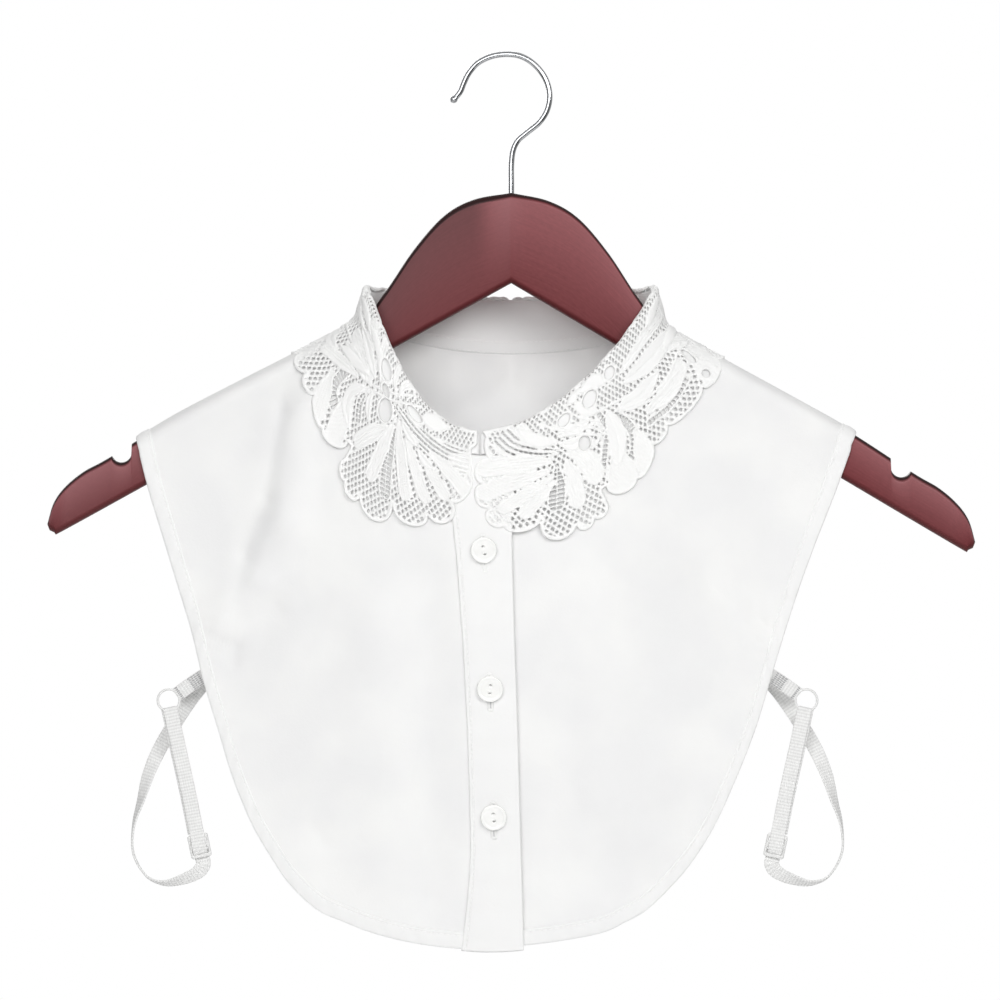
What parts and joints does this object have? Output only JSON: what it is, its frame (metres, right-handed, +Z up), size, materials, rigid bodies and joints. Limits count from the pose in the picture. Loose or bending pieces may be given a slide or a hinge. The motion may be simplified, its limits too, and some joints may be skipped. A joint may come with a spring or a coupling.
{
  "type": "detachable lace collar dickey on a clothes hanger",
  "caption": "False collar with two fronts, a back, a stand, a heavy lace fall, a buttoned front band and elastic side straps, hung on a wooden hanger.",
  "frame": {"origin": "on the underside of the hook's crown, where a rail carries it", "axes": "+Z up through the hook, -Y towards the viewer of the front, +X to that viewer's right"},
  "size_m": [0.445, 0.0762, 0.4314],
  "materials": {
    "lacquered_wood": "satin dark red-brown lacquer",
    "chromed_wire": "bright chrome plate",
    "white_crepe": "matt fine crepe",
    "turned_edge": "matt fine crepe, turned and stitched",
    "guipure_lace": "satin-stitched cotton lace",
    "ribbed_elastic": "matt ribbed elastic",
    "white_plastic": "satin moulded plastic",
    "button": "satin turned button"
  },
  "bodies": {
    "root": {"back_panel": "white_crepe", "binding_back": "turned_edge", "binding_front_left": "turned_edge", "binding_front_right": "turned_edge", "button_1": "button", "button_2": "button", "button_3": "button", "collar_stand": "white_crepe", "front_band": "white_crepe", "front_left": "white_crepe", "front_right": "white_crepe", "hanger": "lacquered_wood", "hook": "chromed_wire", "lace_left": "guipure_lace", "lace_right": "guipure_lace", "ring_left": "chromed_wire", "ring_right": "chromed_wire", "slider_left": "white_plastic", "slider_right": "white_plastic", "strap_left": "ribbed_elastic", "strap_loop_left": "ribbed_elastic", "strap_loop_right": "ribbed_elastic", "strap_right": "ribbed_elastic", "strap_tab_left": "ribbed_elastic", "strap_tab_right": "ribbed_elastic"}
  },
  "joints": []
}
